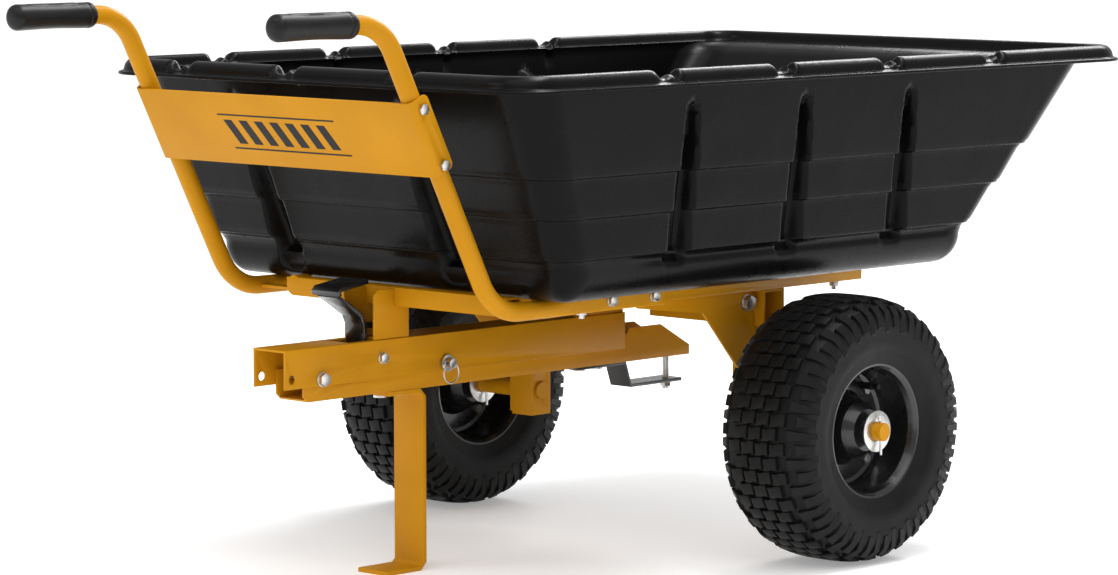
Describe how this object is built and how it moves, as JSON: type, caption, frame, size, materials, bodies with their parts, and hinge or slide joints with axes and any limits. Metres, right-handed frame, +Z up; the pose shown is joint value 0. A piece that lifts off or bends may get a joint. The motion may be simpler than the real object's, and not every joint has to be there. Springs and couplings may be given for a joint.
{
  "type": "garden cart",
  "caption": "Two-wheeled garden cart: a deep ribbed plastic tub on a steel frame that tips on a latch, with push handles and a fold-out drawbar with a stand leg and a clevis hitch.",
  "frame": {"origin": "middle of the whole cart's bounding box, on the ground under the tyres and the stand leg", "axes": "+Z up, +Y towards the rear, where the tub tips out, -Y towards the handles and the hitch, +X towards the cart's left wheel"},
  "size_m": [0.914, 1.568, 0.7745],
  "materials": {
    "tub_plastic": "moulded polyethylene with a fine leather-like grain",
    "yellow_paint": "semi-gloss powder coat over steel",
    "black_paint": "glossy black powder coat over steel",
    "zinc": "bright zinc plate",
    "grip_plastic": "soft ribbed vinyl",
    "tyre_rubber": "satin tyre rubber",
    "valve_rubber": "matt rubber",
    "bush_plastic": "natural nylon"
  },
  "bodies": {
    "tow_frame": {"drawbar_sleeve": "yellow_paint", "pivot_beam": "yellow_paint", "beam_bolts": "zinc", "lever_bolt": "zinc", "lever_spring": "zinc", "fold_bolt": "zinc"},
    "bed": {"tub": "tub_plastic", "right_handle_tube": "yellow_paint", "left_handle_tube": "yellow_paint", "right_grip": "grip_plastic", "left_grip": "grip_plastic", "handle_panel": "yellow_paint", "panel_bolts": "zinc", "right_side_rail": "yellow_paint", "left_side_rail": "yellow_paint", "rail_bolts": "zinc", "tub_bolts": "zinc", "front_cross_member": "yellow_paint", "latch_bracket": "yellow_paint", "striker_pin": "zinc", "axle_beam": "yellow_paint", "right_axle_bracket": "yellow_paint", "left_axle_bracket": "yellow_paint", "right_stub_axle": "yellow_paint", "left_stub_axle": "yellow_paint", "axle_washers": "zinc", "cotter_pins": "zinc", "pivot_bolts": "zinc"},
    "latch_lever": {"latch_lever": "black_paint"},
    "drawbar_arm": {"drawbar": "yellow_paint", "hitch_bracket": "black_paint", "hitch_screws": "zinc", "hitch_pin": "zinc", "stand_leg": "yellow_paint", "leg_bolts": "zinc"},
    "lock_pin": {"lock_pin": "zinc"},
    "lock_ring": {"lock_ring": "zinc"},
    "right_wheel": {"right_tyre": "tyre_rubber", "right_outer_rim": "black_paint", "right_inner_rim": "black_paint", "right_hub_tube": "black_paint", "right_bushes": "bush_plastic", "right_valve": "valve_rubber", "right_rim_bolts": "zinc"},
    "left_wheel": {"left_tyre": "tyre_rubber", "left_outer_rim": "black_paint", "left_inner_rim": "black_paint", "left_hub_tube": "black_paint", "left_bushes": "bush_plastic", "left_valve": "valve_rubber", "left_rim_bolts": "zinc"}
  },
  "joints": [
    {"name": "bed_tilt", "type": "hinge", "parent": "tow_frame", "child": "bed", "pos_m": [0, 0.11, 0.349], "axis": [-1, 0, 0], "range_deg": [0, 45]},
    {"name": "latch_release", "type": "hinge", "parent": "tow_frame", "child": "latch_lever", "pos_m": [0, -0.389, 0.298], "axis": [1, 0, 0], "range_deg": [0, 12], "stiffness_Nm_per_rad": 3, "springref_deg": -14.32},
    {"name": "drawbar_fold", "type": "hinge", "parent": "tow_frame", "child": "drawbar_arm", "pos_m": [0, -0.499, 0.279], "axis": [-1, 0, 0], "range_deg": [0, 180]},
    {"name": "lock_pin_pull", "type": "slide", "parent": "tow_frame", "child": "lock_pin", "axis": [1, 0, 0], "range_m": [0, 0.075]},
    {"name": "lock_ring_swing", "type": "hinge", "parent": "lock_pin", "child": "lock_ring", "pos_m": [0.0406, -0.269, 0.281], "axis": [0, -1, 0], "range_deg": [0, 80]},
    {"name": "right_wheel_spin", "type": "hinge", "parent": "bed", "child": "right_wheel", "pos_m": [-0.38, 0.151, 0.184], "axis": [-1, 0, 0], "continuous": true},
    {"name": "left_wheel_spin", "type": "hinge", "parent": "bed", "child": "left_wheel", "pos_m": [0.38, 0.151, 0.184], "axis": [-1, 0, 0], "continuous": true}
  ]
}
